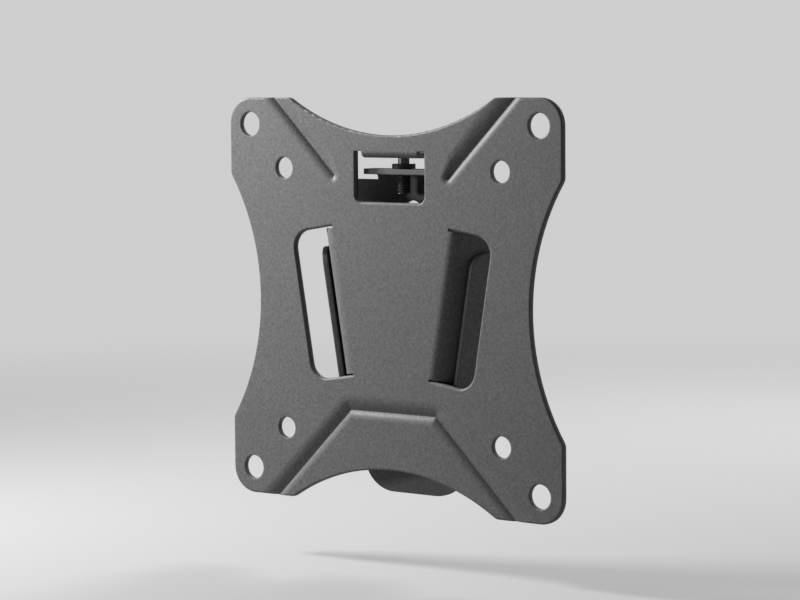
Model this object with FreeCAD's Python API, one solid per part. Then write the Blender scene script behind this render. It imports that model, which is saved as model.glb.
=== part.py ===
import FreeCAD, Part
import math
import os

from FreeCAD import Vector

# Hang-on wall mount for a small monitor: two folded sheets that wedge together and a lock screw.
# Millimetres. The wall is the plane y = 0, the monitor side faces -Y, and z = 0 is the middle of the
# monitor plate's hole patterns.

# Both sheets
sheet = 1.5                 # thickness
standoff = 12.5             # wall to the monitor plate's front face
edge_round = 0.5            # rolled front edge that blanking leaves round the outline
edge_break = 0.45           # chamfer on the openings' front edges

# Monitor plate outline
plate_corner = 7.5          # corner radius, round the outer holes
waist_half = 47.0           # centre to the deepest point of a hollowed side
waist_radius = 65.0         # radius of a hollowed side
horn_round = 3.0            # rounding where a hollow meets the straight edge

# Hole patterns for the monitor's screws
wide_pitch = 100.0
wide_hole = 7.0
narrow_pitch = 75.0
narrow_hole = 6.2

# Wedge: the slots, the flanges lanced from them and the wall plate's flanges lean by this angle
wedge_angle = 9.5
slot_bend = 16.4            # centre line to the flange's bend line, square to the slot
slot_outer = 31.0           # centre line to the slot's outer edge, square to the slot
slot_low = -18.3            # lower end along the slot
slot_high = 24.4            # upper end along the slot
slot_corner = 5.0
slot_end_gap = 0.4          # cut between the flange's ends and the slot's ends
flange_bend = 3.0           # inner bend radius
flange_turn = 57.0          # how far the flange is turned back from the plate
flange_wall_gap = 0.85      # between the flange's tip and the wall plate
flange_tip_round = 3.0

# Window and the tab folded back from its top edge
window_half = 11.9
window_low = 28.3
window_corner = 2.0
tab_under = 40.7            # height of the tab's underside
tab_half = 9.7
tab_bend = 0.4
tab_wall_gap = 1.5          # between the tab's rear edge and the wall
tab_tip_round = 3.0

# Pressed beads: a creased valley at the front, a ridge of the same sheet at the rear
bead_clearance = 0.2        # between a bead's ridge and the wall plate's side flanges, which slide past it
bead_entry = 1.5            # slope where a bead leaves the flat plate
steep_flank = 50.0          # slope of the side below a valley
steep_round = 0.9           # share of that side's depth that is its rounded shoulder
gentle_flank = 24.0         # the same for the side above a valley
gentle_round = 0.57
flared_flank = 20.0         # the same for the side above, where an upper bead has widened most
flared_round = 0.9
flare_start = 5.0           # from an upper bead's closed end to where its upper side is full
bead_lead = 2.0             # how far a bead's cutter runs on past its edge
upper_bead_x = 20.0         # closed inner end of an upper bead
upper_bead_z = 35.6
lower_bead_x = 14.9         # corner of the lower bead
lower_bead_z = -30.9
bead_run = 30.0             # along x and z, past the plate's edge

# Wall plate
body_low = -55.0
body_corner = 10.5
body_land = 1.5             # plain edge beside the side flanges' bend line
side_lean = 25.0            # side flanges lean inwards by this much
side_bend = 1.5             # inner bend radius
side_plate_gap = 1.4        # between a side flange's tip and the monitor plate
side_low = -30.0            # lower end along the flange
side_high = 19.3            # upper end along the flange
side_tip_round = 5.0
side_relief = 1.0           # notch at each end of a side flange
seat_gap = 0.3              # clearance between the two wedges where they seat
wall_hole = 7.0
wall_hole_high = 25.0
wall_hole_low = -35.0

# Lip at the wall plate's top edge, under the tab
lip_gap = 3.2               # tab's underside to the lip's top
lip_half = 12.1
lip_bend = 1.5
lip_plate_gap = 1.5         # between the lip's front edge and the monitor plate
shoulder_drop = 0.3         # the body's top edge below the lip's bend line
lip_tip_round = 2.0

# Lock screw, through the tab and the lip
screw_from_wall = 5.5
thread_radius = 2.0
thread_gap = 0.05           # running fit in the lip's hole
tab_hole_gap = 0.25
thread_length = 7.5
neck_radius = 1.6
head_radius = 4.0
head_height = 3.0
head_round = 1.6
head_play = 0.05            # under the head
tip_chamfer = 0.6
recess_length = 4.4
recess_width = 0.9
recess_depth = 1.7

# Snap ring on the screw's neck
ring_radius = 3.3
ring_height = 1.3
ring_play = 0.1             # over the lip
ring_fit = 0.06
ring_mouth = 2.8            # open side, towards the wall

# Places worked out from the sizes above
front = -standoff
rear = front + sheet
body_front = -sheet
bead_depth = side_plate_gap - bead_clearance
plate_half = wide_pitch / 2 + plate_corner
tab_line = tab_under + tab_bend + sheet
tab_top = tab_under + sheet
lip_top = tab_under - lip_gap
lip_line = lip_top - lip_bend - sheet
body_high = lip_line - shoulder_drop
side_turn = 90 + side_lean
screw_y = -screw_from_wall
ring_low = lip_top + ring_play
up_axis = Vector(0, 0, 1)
depth_axis = Vector(0, 1, 0)
across_axis = Vector(1, 0, 0)
origin = Vector(0, 0, 0)
touch = 0.001
through = 10.0              # how far a cutter runs past a sheet


def block(low, high):
    size = high - low
    return Part.makeBox(size.x, size.y, size.z, low)


def depth_cylinder(radius, x, z, y_low, y_high):
    return Part.makeCylinder(radius, y_high - y_low, Vector(x, y_low, z), depth_axis)


def turned(shape, axis, degrees):
    result = shape.copy()
    result.rotate(origin, axis, degrees)
    return result


def moved(shape, offset):
    result = shape.copy()
    result.translate(offset)
    return result


def both_sides(shape):
    return [shape, shape.mirror(origin, across_axis)]


def mirrored_point(point):
    return Vector(-point.x, point.y, point.z)


def edges_along(shape, axis, keep):
    found = []
    for edge in shape.Edges:
        run = edge.Vertexes[-1].Point - edge.Vertexes[0].Point
        if run.Length > touch and run.cross(axis).Length < touch and keep(edge.CenterOfMass):
            found.append(edge)
    return found


# A sheet's folded leg. X runs on from the sheet's edge, Y into the fold, and Z along the bend line.
# The outside of the bend is the face at y = 0.
def folded_leg(inner_radius, turn, straight, length, tip_round):
    outer_radius = inner_radius + sheet
    angle = math.radians(turn)

    def on_bend(radius, part):
        return Vector(radius * math.sin(part), outer_radius - radius * math.cos(part), 0)

    along = Vector(math.cos(angle), math.sin(angle), 0)
    outer_tip = on_bend(outer_radius, angle) + along * straight
    inner_tip = on_bend(inner_radius, angle) + along * straight
    outer_bend = Part.Arc(on_bend(outer_radius, 0), on_bend(outer_radius, angle / 2),
                          on_bend(outer_radius, angle))
    inner_bend = Part.Arc(on_bend(inner_radius, angle), on_bend(inner_radius, angle / 2),
                          on_bend(inner_radius, 0))
    section = Part.Wire([
        outer_bend.toShape(),
        Part.makeLine(on_bend(outer_radius, angle), outer_tip),
        Part.makeLine(outer_tip, inner_tip),
        Part.makeLine(inner_tip, on_bend(inner_radius, angle)),
        inner_bend.toShape(),
        Part.makeLine(on_bend(inner_radius, 0), on_bend(outer_radius, 0)),
    ])
    leg = Part.Face(section).extrude(up_axis * length)
    tip_middle = (outer_tip + inner_tip) * 0.5

    def at_tip(point):
        return math.hypot(point.x - tip_middle.x, point.y - tip_middle.y) < touch

    corners = edges_along(leg, inner_tip - outer_tip, at_tip)
    return leg.makeFillet(tip_round, corners)


# Flat length that takes one corner of a leg's tip, on the given bend radius, to a depth.
def leg_straight(inner_radius, corner_radius, turn, depth):
    angle = math.radians(turn)
    bend_depth = inner_radius + sheet - corner_radius * math.cos(angle)
    return (depth - bend_depth) / math.sin(angle)


def flange_straight():
    return leg_straight(flange_bend, flange_bend, flange_turn, standoff - sheet - flange_wall_gap)


def side_straight():
    return leg_straight(side_bend, side_bend + sheet, side_turn, standoff - sheet - side_plate_gap)


# Where the outer corner of the monitor plate's flange tip lies, from its bend line and the front face.
def flange_tip():
    outer_radius = flange_bend + sheet
    angle = math.radians(flange_turn)
    x = outer_radius * math.sin(angle) + flange_straight() * math.cos(angle)
    y = outer_radius * (1 - math.cos(angle)) + flange_straight() * math.sin(angle)
    return Vector(x, y, 0)


# The square plate with four hollowed sides, as a prism.
def plate_prism(thickness):
    low = Vector(-plate_half, front, -plate_half)
    high = Vector(plate_half, front + thickness, plate_half)
    prism = block(low, high)
    hollow_centre = waist_half + waist_radius
    for quarter in range(4):
        hollow = depth_cylinder(waist_radius, hollow_centre, 0, front - through, rear + through)
        prism = prism.cut(turned(hollow, depth_axis, 90 * quarter))

    def is_corner(point):
        return abs(point.x) > plate_half - touch and abs(point.z) > plate_half - touch

    def is_horn(point):
        return not is_corner(point)

    prism = prism.makeFillet(plate_corner, edges_along(prism, depth_axis, is_corner))
    return prism.makeFillet(horn_round, edges_along(prism, depth_axis, is_horn))


# One slot, upright in the wedge's own frame, before it is leaned over.
def slot_cutter():
    low = Vector(slot_bend, front - through, slot_low)
    high = Vector(slot_outer, rear + through, slot_high)
    cutter = block(low, high)

    def is_outer(point):
        return point.x > slot_outer - touch

    return cutter.makeFillet(slot_corner, edges_along(cutter, depth_axis, is_outer))


def window_cutter():
    low = Vector(-window_half, front - through, window_low)
    high = Vector(window_half, rear + through, tab_line)
    cutter = block(low, high)

    def is_lower(point):
        return point.z < window_low + touch

    return cutter.makeFillet(window_corner, edges_along(cutter, depth_axis, is_lower))


def screw_holes():
    holes = []
    for pitch, hole in ((wide_pitch, wide_hole), (narrow_pitch, narrow_hole)):
        for x in (-pitch / 2, pitch / 2):
            for z in (-pitch / 2, pitch / 2):
                holes.append(depth_cylinder(hole / 2, x, z, front - through, rear + through))
    return holes


def front_edges(plate):
    found = []
    for edge in plate.Edges:
        ends_at_front = all(abs(vertex.Y - front) < touch for vertex in edge.Vertexes)
        if ends_at_front and abs(edge.CenterOfMass.y - front) < touch:
            found.append(edge)
    return found


# The openings' front edges, all but the bend lines of the flanges and the tab.
def opening_edges(plate):
    lean = math.radians(wedge_angle)
    found = []
    for edge in front_edges(plate):
        middle = edge.CenterOfMass
        square = abs(middle.x) * math.cos(lean) - middle.z * math.sin(lean)
        on_flange_line = abs(square - slot_bend) < touch and abs(middle.x) < slot_outer
        on_tab_line = abs(middle.z - tab_line) < touch and abs(middle.x) < tab_half
        inside = math.hypot(middle.x, middle.z) < waist_half - edge_round - touch
        if inside and not on_flange_line and not on_tab_line:
            found.append(edge)
    return found


# One side of a bead's section: X out from the valley, Y into it, from the flat sheet at y = 0.
# The front face has a sharp valley, and the offset makes the rear face, which is round there.
def bead_side(slope, round_share, offset):
    flank = math.radians(slope)
    entry = math.radians(bead_entry)
    shoulder = round_share * bead_depth / (math.cos(entry) - math.cos(flank)) - offset
    flat = (1 - round_share) * bead_depth / math.sin(flank)
    crest = bead_depth + offset * (1 - math.cos(entry))

    def on_crest(angle):
        return Vector(offset * math.sin(angle), crest - offset * (1 - math.cos(angle)), 0)

    flat_end = on_crest(flank) + Vector(math.cos(flank), -math.sin(flank), 0) * flat

    def on_shoulder(angle):
        across = shoulder * (math.sin(flank) - math.sin(angle))
        return flat_end + Vector(across, -shoulder * (math.cos(angle) - math.cos(flank)), 0)

    edge = on_shoulder(entry)
    lead_in = edge + Vector(bead_lead, -bead_lead * math.tan(entry), 0)
    over_valley = Vector(0, lead_in.y, 0)
    outline = [
        Part.makeLine(on_crest(flank), flat_end),
        Part.Arc(flat_end, on_shoulder((flank + entry) / 2), edge).toShape(),
        Part.makeLine(edge, lead_in),
        Part.makeLine(lead_in, over_valley),
        Part.makeLine(over_valley, on_crest(0)),
    ]
    if offset:
        outline.append(Part.Arc(on_crest(0), on_crest(flank / 2), on_crest(flank)).toShape())
    return Part.Wire(outline)


def along_run(shape, start, run, level):
    heading = math.degrees(math.atan2(run.x, run.z))
    return moved(turned(shape, depth_axis, heading), start + depth_axis * level)


# An upper bead, from its closed inner end. Its upper side widens towards the plate's edge.
def upper_bead(offset, level):
    start = Vector(upper_bead_x, 0, upper_bead_z)
    run = Vector(bead_run, 0, bead_run)
    steep = bead_side(steep_flank, steep_round, offset)
    gentle = moved(bead_side(gentle_flank, gentle_round, offset), up_axis * flare_start)
    flared = moved(bead_side(flared_flank, flared_round, offset), up_axis * run.Length)
    below = Part.Face(steep).extrude(up_axis * run.Length)
    above = Part.makeLoft([steep, gentle, flared], True, True).mirror(origin, across_axis)
    closed_end = Part.Face(steep).revolve(origin, depth_axis, 360)
    return along_run(below.multiFuse([above, closed_end]), start, run, level)


# The lower bead: two leaning runs and a level one between them, with a fan on the outside of each corner.
def lower_bead(offset, level):
    right_corner = Vector(lower_bead_x, 0, lower_bead_z)
    right_end = right_corner + Vector(bead_run, 0, -bead_run)
    points = [mirrored_point(right_end), mirrored_point(right_corner), right_corner, right_end]
    runs = [end - start for start, end in zip(points, points[1:])]
    steep = Part.Face(bead_side(steep_flank, steep_round, offset))
    gentle = Part.Face(bead_side(gentle_flank, gentle_round, offset)).mirror(origin, across_axis)
    solids = []
    for start, run in zip(points, runs):
        for side in (steep, gentle):
            solids.append(along_run(side.extrude(up_axis * run.Length), start, run, level))
    for corner, run, next_run in zip(points[1:], runs, runs[1:]):
        bend = math.degrees(run.getAngle(next_run))
        solids.append(along_run(gentle.revolve(origin, depth_axis, bend), corner, run, level))
    return solids[0].multiFuse(solids[1:])


def beads(offset, level):
    return both_sides(upper_bead(offset, level)) + [lower_bead(offset, level)]


def make_monitor_plate():
    plate = plate_prism(sheet)
    plate = plate.makeFillet(edge_round, front_edges(plate))
    slots = both_sides(turned(slot_cutter(), depth_axis, wedge_angle))
    plate = plate.cut(slots + [window_cutter()])
    plate = plate.makeChamfer(edge_break, opening_edges(plate))
    plate = plate.cut(screw_holes())

    flange_length = slot_high - slot_low - 2 * slot_end_gap
    flange = folded_leg(flange_bend, flange_turn, flange_straight(), flange_length, flange_tip_round)
    flange = moved(flange, Vector(slot_bend, front, slot_low + slot_end_gap))
    flanges = both_sides(turned(flange, depth_axis, wedge_angle))

    tab_straight = standoff - tab_wall_gap - tab_bend - sheet
    tab = folded_leg(tab_bend, 90, tab_straight, 2 * tab_half, tab_tip_round)
    tab = moved(turned(tab, depth_axis, 90), Vector(-tab_half, front, tab_line))
    tab_hole = Part.makeCylinder(thread_radius + tab_hole_gap, sheet + 2 * through,
                                 Vector(0, screw_y, tab_under - through))
    tab = tab.cut(tab_hole)

    reach = plate_prism(sheet + through)
    ridges = [ridge.common(reach) for ridge in beads(sheet, rear)]
    plate = plate.fuse(flanges + [tab] + ridges)
    plate = plate.cut(beads(0, front))
    return plate.removeSplitter()


# Where the side flange's bend line lies, so that its inner face clears the monitor plate's flange tip.
def side_bend_line():
    tip = flange_tip()
    tip_from_wall = standoff - tip.y
    turn = math.radians(side_turn)
    below_bend = (tip_from_wall - side_bend - sheet) * math.cos(turn)
    return slot_bend + tip.x - (side_bend - seat_gap + below_bend) / math.sin(turn)


# The tapered body, between two leaning sides, with rounded corners.
def wall_body():
    side = side_bend_line() + body_land
    lean = math.radians(wedge_angle)

    def corner(z):
        return Vector(side / math.cos(lean) + z * math.tan(lean), 0, z)

    right = [corner(body_low), corner(body_high)]
    left = [mirrored_point(point) for point in reversed(right)]
    body = Part.Face(Part.makePolygon(right + left + right[:1])).extrude(depth_axis * -sheet)
    return body.makeFillet(body_corner, edges_along(body, depth_axis, lambda point: True))


def make_wall_plate():
    bend_line = side_bend_line()
    neck = block(Vector(-lip_half, body_front, body_high - body_corner), Vector(lip_half, 0, lip_line))
    body = wall_body().fuse(neck)
    notch_low = Vector(bend_line, body_front - through, side_low - side_relief)
    notch_high = Vector(bend_line + through, through, side_high + side_relief)
    notch = turned(block(notch_low, notch_high), depth_axis, wedge_angle)
    wall_holes = [depth_cylinder(wall_hole / 2, 0, z, body_front - through, through)
                  for z in (wall_hole_high, wall_hole_low)]
    body = body.cut(both_sides(notch) + wall_holes)

    side = folded_leg(side_bend, side_turn, side_straight(), side_high - side_low, side_tip_round)
    side = moved(turned(side, across_axis, 180), Vector(bend_line, 0, side_high))
    sides = both_sides(turned(side, depth_axis, wedge_angle))

    lip_straight = standoff - sheet - lip_plate_gap - lip_bend - sheet
    lip = folded_leg(lip_bend, 90, lip_straight, 2 * lip_half, lip_tip_round)
    lip = turned(turned(lip, depth_axis, -90), up_axis, 180)
    lip = moved(lip, Vector(-lip_half, 0, lip_line))
    lip_hole = Part.makeCylinder(thread_radius + thread_gap, sheet + 2 * through,
                                 Vector(0, screw_y, lip_top - sheet - through))
    lip = lip.cut(lip_hole)
    return body.fuse(sides + [lip]).removeSplitter()


def make_lock_screw():
    head_low = tab_top + head_play
    head_high = head_low + head_height
    tip = ring_low - thread_length
    outline = [
        Vector(0, 0, tip),
        Vector(thread_radius - tip_chamfer, 0, tip),
        Vector(thread_radius, 0, tip + tip_chamfer),
        Vector(thread_radius, 0, ring_low),
        Vector(neck_radius, 0, ring_low),
        Vector(neck_radius, 0, head_low),
        Vector(head_radius, 0, head_low),
        Vector(head_radius, 0, head_high),
        Vector(0, 0, head_high),
        Vector(0, 0, tip),
    ]
    screw = Part.Face(Part.makePolygon(outline)).revolve(origin, up_axis, 360)
    crown = [edge for edge in screw.Edges
             if abs(edge.CenterOfMass.z - head_high) < touch and edge.Length > head_radius]
    screw = screw.makeFillet(head_round, crown)
    for long_x, long_y in ((recess_length, recess_width), (recess_width, recess_length)):
        low = Vector(-long_x / 2, -long_y / 2, head_high - recess_depth)
        high = Vector(long_x / 2, long_y / 2, head_high + through)
        screw = screw.cut(block(low, high))
    return moved(screw, depth_axis * screw_y)


def make_retaining_ring():
    foot = Vector(0, screw_y, ring_low)
    ring = Part.makeCylinder(ring_radius, ring_height, foot)
    bore = Part.makeCylinder(neck_radius + ring_fit, ring_height, foot)
    mouth_low = Vector(-ring_mouth / 2, screw_y, ring_low)
    mouth_high = Vector(ring_mouth / 2, screw_y + 2 * ring_radius, ring_low + ring_height)
    return ring.cut([bore, block(mouth_low, mouth_high)])


os.makedirs("parts", exist_ok=True)
pieces = {
    "monitor_plate": make_monitor_plate(),
    "wall_plate": make_wall_plate(),
    "lock_screw": make_lock_screw(),
    "retaining_ring": make_retaining_ring(),
}
for name, shape in pieces.items():
    shape.exportStep("parts/" + name + ".step")
    box = shape.optimalBoundingBox()
    print(name, len(shape.Solids), shape.isValid(), round(shape.Volume, 1),
          [round(value, 2) for value in (box.XMin, box.XMax, box.YMin, box.YMax, box.ZMin, box.ZMax)])
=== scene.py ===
import math

import bmesh
import bpy
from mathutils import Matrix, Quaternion, Vector


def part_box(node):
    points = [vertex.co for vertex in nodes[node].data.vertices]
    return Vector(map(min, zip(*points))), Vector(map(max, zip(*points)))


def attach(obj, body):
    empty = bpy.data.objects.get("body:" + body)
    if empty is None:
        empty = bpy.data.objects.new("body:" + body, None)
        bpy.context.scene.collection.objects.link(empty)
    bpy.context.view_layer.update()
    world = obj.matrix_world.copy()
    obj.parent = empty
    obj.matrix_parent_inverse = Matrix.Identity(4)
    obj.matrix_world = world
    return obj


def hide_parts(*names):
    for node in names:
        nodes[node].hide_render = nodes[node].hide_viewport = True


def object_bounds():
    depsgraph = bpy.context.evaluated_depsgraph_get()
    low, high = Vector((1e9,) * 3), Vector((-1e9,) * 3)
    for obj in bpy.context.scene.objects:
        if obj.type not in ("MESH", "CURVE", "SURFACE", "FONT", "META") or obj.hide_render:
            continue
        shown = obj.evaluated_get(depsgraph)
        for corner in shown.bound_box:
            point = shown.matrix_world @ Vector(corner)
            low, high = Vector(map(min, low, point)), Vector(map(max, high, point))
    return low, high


# Looks for the hang-on wall mount, in metres: the wall is y = 0 and the front faces -Y.
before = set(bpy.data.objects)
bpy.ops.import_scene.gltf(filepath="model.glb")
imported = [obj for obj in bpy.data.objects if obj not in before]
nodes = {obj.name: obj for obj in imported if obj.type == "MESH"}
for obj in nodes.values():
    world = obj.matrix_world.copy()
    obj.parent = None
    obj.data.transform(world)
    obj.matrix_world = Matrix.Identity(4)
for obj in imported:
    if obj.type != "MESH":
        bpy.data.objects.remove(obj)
cad_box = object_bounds()
mm = 0.001

# Camera
camera_azimuth = 36.62
camera_elevation = 4.97
camera_roll = -0.46
camera_distance = 0.7394
camera_target = Vector((3.5, -12.5, 1.3)) * mm
camera_lens = 119.5
camera_sensor = 36

# Floor and surroundings
floor_drop = 0.018          # under the plate's lowest edge
floor_half = 6.0
floor_colour = (0.42, 0.42, 0.42, 1)
floor_roughness = 0.9
backdrop_level = 0.62       # what the camera sees of the floor and past it
floor_share = 0.55          # how much of the floor's look is that level; the rest is its own light and shade
floor_near = 0.15           # from here on, the floor goes over to the plain level
floor_far = 0.70            # from here on, it has that level alone
mirrored_level = 0.22       # what shiny surfaces reflect of it
ambient_level = 0.03        # what lights the object from all round

# Lamps: each one's place in the frame, its size, its power and whether it makes highlights
lamps = {
    "key": {"place": (-0.275, -0.115, 0.190), "size": 0.08, "power": 2.25, "highlights": True},
    "fill": {"place": (-0.31, -0.31, 0.03), "size": 0.08, "power": 0.36, "highlights": True},
    "rear": {"place": (-0.05, 0.48, 0.28), "size": 0.24, "power": 3.7, "highlights": False},
    "side": {"place": (0.45, 0.20, 0.10), "size": 0.30, "power": 0.30, "highlights": False},
}

# Noise textures
noise_roughness = 0.55
noise_span = (0.25, 0.75)   # where most of a noise's values lie

# Powder coat
coat_colour = (0.140, 0.140, 0.143)
coat_grain = 0.70 * mm      # size of the paint's fine texture
coat_speckle = (0.66, 1.34)  # how far that texture darkens and lightens the colour
coat_mottle = 14 * mm       # size of its soft, uneven patches
coat_shade = (0.96, 1.04)   # how far those patches darken and lighten it
coat_detail = 3.0
coat_turn = (0.6, 0.4, 0.8)  # keeps the textures' own grid off the sheets' flat faces
coat_roughness = (0.48, 0.56)
coat_shine = 0.32           # strength of its plain reflection
bump_strength = 0.25
bump_height = 0.05 * mm
coat_edge = 0.60 * mm       # how far the paint rounds over a sharp edge
wear_and_highlight_reach = 0.60 * mm       # how far from an edge the paint is paler: partly thinner paint, partly a painted highlight
wear_and_highlight_turn = (0.99, 0.88)    # cosine of the surface's turn where that starts and where it is full
wear_and_highlight_gain = 1.45            # how much paler it gets there, from thin paint and painted highlight together
edge_samples = 6

# Black steel and black plastic, each speckled by a fine texture of its own
black_steel = {
    "colour": (0.120, 0.120, 0.124), "grain": 0.5 * mm, "detail": 4.0,
    "speckle": (0.8, 1.2), "roughness": (0.32, 0.44), "metallic": 0.9,
}
black_plastic = {
    "colour": (0.018, 0.018, 0.019), "grain": 0.25 * mm, "detail": 3.0,
    "speckle": (0.85, 1.15), "roughness": (0.50, 0.62), "metallic": 0,
}

# Lock screw
thread_radius = 2.0 * mm
thread_pitch = 0.7 * mm
thread_depth = 0.40 * mm
tip_chamfer = 0.6 * mm
neck_radius = 1.6 * mm
head_height = 3.0 * mm
head_round = 1.6 * mm
recess_length = 4.4 * mm
recess_width = 0.9 * mm
recess_depth = 1.7 * mm
recess_taper = 0.6          # the recess's floor against its mouth
turn_steps = 64
thread_rows = 8             # rows of points to a pitch
crown_steps = 8
sharp_angle = math.radians(38)
turn_angles = [math.tau * step / turn_steps for step in range(turn_steps)]


# Node helpers
def new_material(name):
    material = bpy.data.materials.new(name)
    material.use_nodes = True
    tree = material.node_tree
    return material, tree.nodes, tree.links, tree.nodes["Principled BSDF"]


def object_place(tree_nodes):
    return tree_nodes.new("ShaderNodeTexCoord").outputs["Object"]


def noise(tree_nodes, links, place, size, detail):
    texture = tree_nodes.new("ShaderNodeTexNoise")
    texture.inputs["Scale"].default_value = 1 / size
    texture.inputs["Detail"].default_value = detail
    texture.inputs["Roughness"].default_value = noise_roughness
    links.new(place, texture.inputs["Vector"])
    return texture.outputs["Fac"]


def mapped(tree_nodes, links, value, source, target):
    spread = tree_nodes.new("ShaderNodeMapRange")
    spread.inputs["From Min"].default_value = source[0]
    spread.inputs["From Max"].default_value = source[1]
    spread.inputs["To Min"].default_value = target[0]
    spread.inputs["To Max"].default_value = target[1]
    links.new(value, spread.inputs["Value"])
    return spread


def to_range(tree_nodes, links, texture, target):
    return mapped(tree_nodes, links, texture, noise_span, target).outputs["Result"]


def times(tree_nodes, links, first, second):
    product = tree_nodes.new("ShaderNodeMath")
    product.operation = "MULTIPLY"
    links.new(first, product.inputs[0])
    links.new(second, product.inputs[1])
    return product.outputs["Value"]


def tinted(tree_nodes, links, colour, level):
    scale = tree_nodes.new("ShaderNodeVectorMath")
    scale.operation = "SCALE"
    scale.inputs[0].default_value = colour
    links.new(level, scale.inputs["Scale"])
    return scale.outputs["Vector"]


def rounded_normal(tree_nodes, radius):
    rounded = tree_nodes.new("ShaderNodeBevel")
    rounded.samples = edge_samples
    rounded.inputs["Radius"].default_value = radius
    return rounded.outputs["Normal"]


# Materials
# Paler edges: partly thinner paint, partly a painted highlight where light catches the edges
def edge_wear_and_highlight(tree_nodes, links, grain):
    facing = tree_nodes.new("ShaderNodeVectorMath")
    facing.operation = "DOT_PRODUCT"
    links.new(rounded_normal(tree_nodes, wear_and_highlight_reach), facing.inputs[0])
    links.new(tree_nodes.new("ShaderNodeNewGeometry").outputs["Normal"], facing.inputs[1])
    wear_and_highlight_mix = mapped(tree_nodes, links, facing.outputs["Value"], wear_and_highlight_turn, (1, wear_and_highlight_gain))
    links.new(to_range(tree_nodes, links, grain, (1, wear_and_highlight_gain)), wear_and_highlight_mix.inputs["To Max"])
    return wear_and_highlight_mix.outputs["Result"]


def make_powder_coat():
    material, tree_nodes, links, shader = new_material("powder_coat")
    turned = tree_nodes.new("ShaderNodeMapping")
    turned.inputs["Rotation"].default_value = coat_turn
    links.new(object_place(tree_nodes), turned.inputs["Vector"])
    grain = noise(tree_nodes, links, turned.outputs["Vector"], coat_grain, coat_detail)
    patches = noise(tree_nodes, links, turned.outputs["Vector"], coat_mottle, coat_detail)

    speckle = to_range(tree_nodes, links, grain, coat_speckle)
    mottle = to_range(tree_nodes, links, patches, coat_shade)
    paint = times(tree_nodes, links, speckle, mottle)
    level = times(tree_nodes, links, paint, edge_wear_and_highlight(tree_nodes, links, grain))
    links.new(tinted(tree_nodes, links, coat_colour, level), shader.inputs["Base Color"])
    links.new(to_range(tree_nodes, links, patches, coat_roughness), shader.inputs["Roughness"])
    shader.inputs["Specular IOR Level"].default_value = coat_shine

    bump = tree_nodes.new("ShaderNodeBump")
    bump.inputs["Strength"].default_value = bump_strength
    bump.inputs["Distance"].default_value = bump_height
    links.new(grain, bump.inputs["Height"])
    links.new(rounded_normal(tree_nodes, coat_edge), bump.inputs["Normal"])
    links.new(bump.outputs["Normal"], shader.inputs["Normal"])
    return material


def make_speckled(name, colour, grain, detail, speckle, roughness, metallic):
    material, tree_nodes, links, shader = new_material(name)
    texture = noise(tree_nodes, links, object_place(tree_nodes), grain, detail)
    level = to_range(tree_nodes, links, texture, speckle)
    links.new(tinted(tree_nodes, links, colour, level), shader.inputs["Base Color"])
    links.new(to_range(tree_nodes, links, texture, roughness), shader.inputs["Roughness"])
    shader.inputs["Metallic"].default_value = metallic
    return material


def dress(name, material):
    nodes[name].data.materials.clear()
    nodes[name].data.materials.append(material)
    shading = nodes[name].modifiers.new("even_shading", "WEIGHTED_NORMAL")
    shading.keep_sharp = True


# The lock screw, turned about its own axis, with a cut thread and a tapered cross recess
def thread_reach(angle, rise):
    turn = rise / thread_pitch - angle / math.tau
    groove = 1 - abs(2 * (turn % 1) - 1)
    return min(thread_radius - thread_depth * groove, thread_radius - tip_chamfer + rise)


def cross_outline(shrink):
    long = recess_length / 2 * shrink
    thin = recess_width / 2 * shrink
    points = [(long, -thin), (long, thin), (thin, thin), (thin, long), (-thin, long), (-thin, thin)]
    return points + [(-x, -y) for x, y in points]


def add_ring(mesh, axis, height, reaches):
    ring = []
    for angle, reach in zip(turn_angles, reaches):
        x = axis.x + reach * math.cos(angle)
        y = axis.y + reach * math.sin(angle)
        ring.append(mesh.verts.new((x, y, height)))
    return ring


def add_side(mesh, lower, upper):
    for step in range(len(lower)):
        following = (step + 1) % len(lower)
        mesh.faces.new((lower[step], lower[following], upper[following], upper[step]))


def add_turned_rings(mesh, axis, low, high):
    thread_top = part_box("retaining_ring")[0].z
    head_low = high.z - head_height
    head_radius = (high.x - low.x) / 2
    rows = math.ceil((thread_top - low.z) / thread_pitch * thread_rows)
    rings = []
    for row in range(rows + 1):
        rise = (thread_top - low.z) * row / rows
        reaches = [thread_reach(angle, rise) for angle in turn_angles]
        rings.append(add_ring(mesh, axis, low.z + rise, reaches))
    for height, radius in ((thread_top, neck_radius), (head_low, neck_radius), (head_low, head_radius)):
        rings.append(add_ring(mesh, axis, height, [radius] * turn_steps))
    for step in range(crown_steps + 1):
        turn = math.pi / 2 * step / crown_steps
        height = high.z - head_round * (1 - math.sin(turn))
        radius = head_radius - head_round * (1 - math.cos(turn))
        rings.append(add_ring(mesh, axis, height, [radius] * turn_steps))
    return rings


def add_recess(mesh, axis, top):
    outlines = []
    for shrink, height in ((1, top), (recess_taper, top - recess_depth)):
        outlines.append([mesh.verts.new((axis.x + x, axis.y + y, height)) for x, y in cross_outline(shrink)])
    mouth, bottom = outlines
    add_side(mesh, bottom, mouth)
    mesh.faces.new(bottom)
    return mouth


def make_screw(material):
    low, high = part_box("lock_screw")
    axis = (low + high) / 2
    mesh = bmesh.new()
    rings = add_turned_rings(mesh, axis, low, high)
    for lower, upper in zip(rings, rings[1:]):
        add_side(mesh, lower, upper)
    mesh.faces.new(reversed(rings[0]))
    mouth = add_recess(mesh, axis, high.z)
    rims = []
    for rim in (rings[-1], mouth):
        for start, end in zip(rim, rim[1:] + rim[:1]):
            rims.append(mesh.edges.get((start, end)))
    bmesh.ops.triangle_fill(mesh, edges=rims, use_beauty=True, normal=(0, 0, 1))

    data = bpy.data.meshes.new("threaded_screw")
    mesh.to_mesh(data)
    mesh.free()
    data.shade_smooth()
    data.set_sharp_from_angle(angle=sharp_angle)
    data.materials.append(material)
    screw = bpy.data.objects.new("threaded_screw", data)
    bpy.context.scene.collection.objects.link(screw)
    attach(screw, "screw")
    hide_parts("lock_screw")


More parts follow.
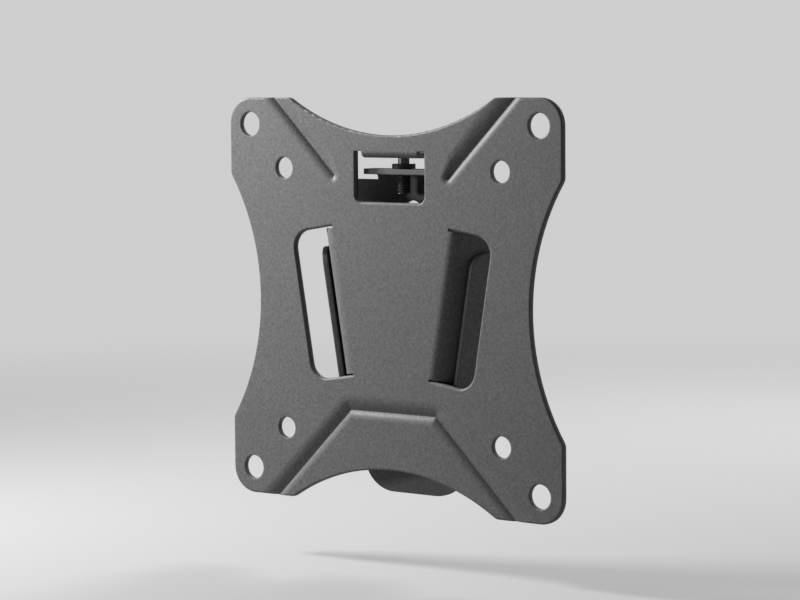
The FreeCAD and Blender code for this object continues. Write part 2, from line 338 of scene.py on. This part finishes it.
# The background's level: one for the camera, one for reflections and one for the light that it gives
def background_level(tree_nodes, links):
    rays = tree_nodes.new("ShaderNodeLightPath")
    mirrored = tree_nodes.new("ShaderNodeMix")
    mirrored.inputs["A"].default_value = ambient_level
    mirrored.inputs["B"].default_value = mirrored_level
    links.new(rays.outputs["Is Glossy Ray"], mirrored.inputs["Factor"])
    seen = tree_nodes.new("ShaderNodeMix")
    seen.inputs["B"].default_value = backdrop_level
    links.new(mirrored.outputs["Result"], seen.inputs["A"])
    links.new(rays.outputs["Is Camera Ray"], seen.inputs["Factor"])
    return seen.outputs["Result"]


# Floor, surroundings, lamps and camera
def make_floor():
    material, tree_nodes, links, shader = new_material("floor")
    shader.inputs["Base Color"].default_value = floor_colour
    shader.inputs["Roughness"].default_value = floor_roughness
    plain = tree_nodes.new("ShaderNodeEmission")
    links.new(background_level(tree_nodes, links), plain.inputs["Strength"])
    away = tree_nodes.new("ShaderNodeVectorMath")
    away.operation = "LENGTH"
    links.new(object_place(tree_nodes), away.inputs[0])
    share = mapped(tree_nodes, links, away.outputs["Value"], (floor_near, floor_far), (floor_share, 1))
    share.interpolation_type = "SMOOTHSTEP"
    mix = tree_nodes.new("ShaderNodeMixShader")
    links.new(share.outputs["Result"], mix.inputs["Fac"])
    links.new(shader.outputs["BSDF"], mix.inputs[1])
    links.new(plain.outputs["Emission"], mix.inputs[2])
    links.new(mix.outputs["Shader"], tree_nodes["Material Output"].inputs["Surface"])

    mesh = bpy.data.meshes.new("floor")
    corners = [(x * floor_half, y * floor_half, 0) for x, y in ((-1, -1), (1, -1), (1, 1), (-1, 1))]
    mesh.from_pydata(corners, [], [(0, 1, 2, 3)])
    mesh.materials.append(material)
    floor = bpy.data.objects.new("floor", mesh)
    floor.location.z = cad_box[0].z - floor_drop
    bpy.context.scene.collection.objects.link(floor)


def make_world():
    world = bpy.data.worlds.new("studio")
    world.use_nodes = True
    bpy.context.scene.world = world
    tree_nodes = world.node_tree.nodes
    links = world.node_tree.links
    background = tree_nodes["Background"]
    background.inputs["Color"].default_value = (1, 1, 1, 1)
    links.new(background_level(tree_nodes, links), background.inputs["Strength"])


def make_lamp(name, place, size, power, highlights):
    data = bpy.data.lights.new(name, "AREA")
    data.shape = "DISK"
    data.size = size
    data.energy = power
    lamp = bpy.data.objects.new(name, data)
    lamp.location = place
    lamp.visible_camera = False
    lamp.visible_glossy = highlights
    lamp.rotation_mode = "QUATERNION"
    lamp.rotation_quaternion = (-Vector(place)).to_track_quat("-Z", "Y")
    bpy.context.scene.collection.objects.link(lamp)


def make_camera():
    data = bpy.data.cameras.new("camera")
    data.lens = camera_lens
    data.sensor_width = camera_sensor
    camera = bpy.data.objects.new("camera", data)
    azimuth = math.radians(camera_azimuth)
    elevation = math.radians(camera_elevation)
    back = Vector((math.sin(azimuth) * math.cos(elevation), -math.cos(azimuth) * math.cos(elevation),
                   math.sin(elevation)))
    camera.location = camera_target + back * camera_distance
    camera.rotation_mode = "QUATERNION"
    roll = Quaternion((0, 0, 1), math.radians(camera_roll))
    camera.rotation_quaternion = (-back).to_track_quat("-Z", "Y") @ roll
    bpy.context.scene.collection.objects.link(camera)
    bpy.context.scene.camera = camera


# Dress the pieces and set the stage
powder_coat = make_powder_coat()
dress("monitor_plate", powder_coat)
dress("wall_plate", powder_coat)
make_screw(make_speckled("black_steel", **black_steel))
dress("retaining_ring", make_speckled("black_plastic", **black_plastic))

make_floor()
make_world()
for lamp_name, lamp_values in lamps.items():
    make_lamp(lamp_name, **lamp_values)
make_camera()
bpy.context.scene.view_settings.view_transform = "Standard"
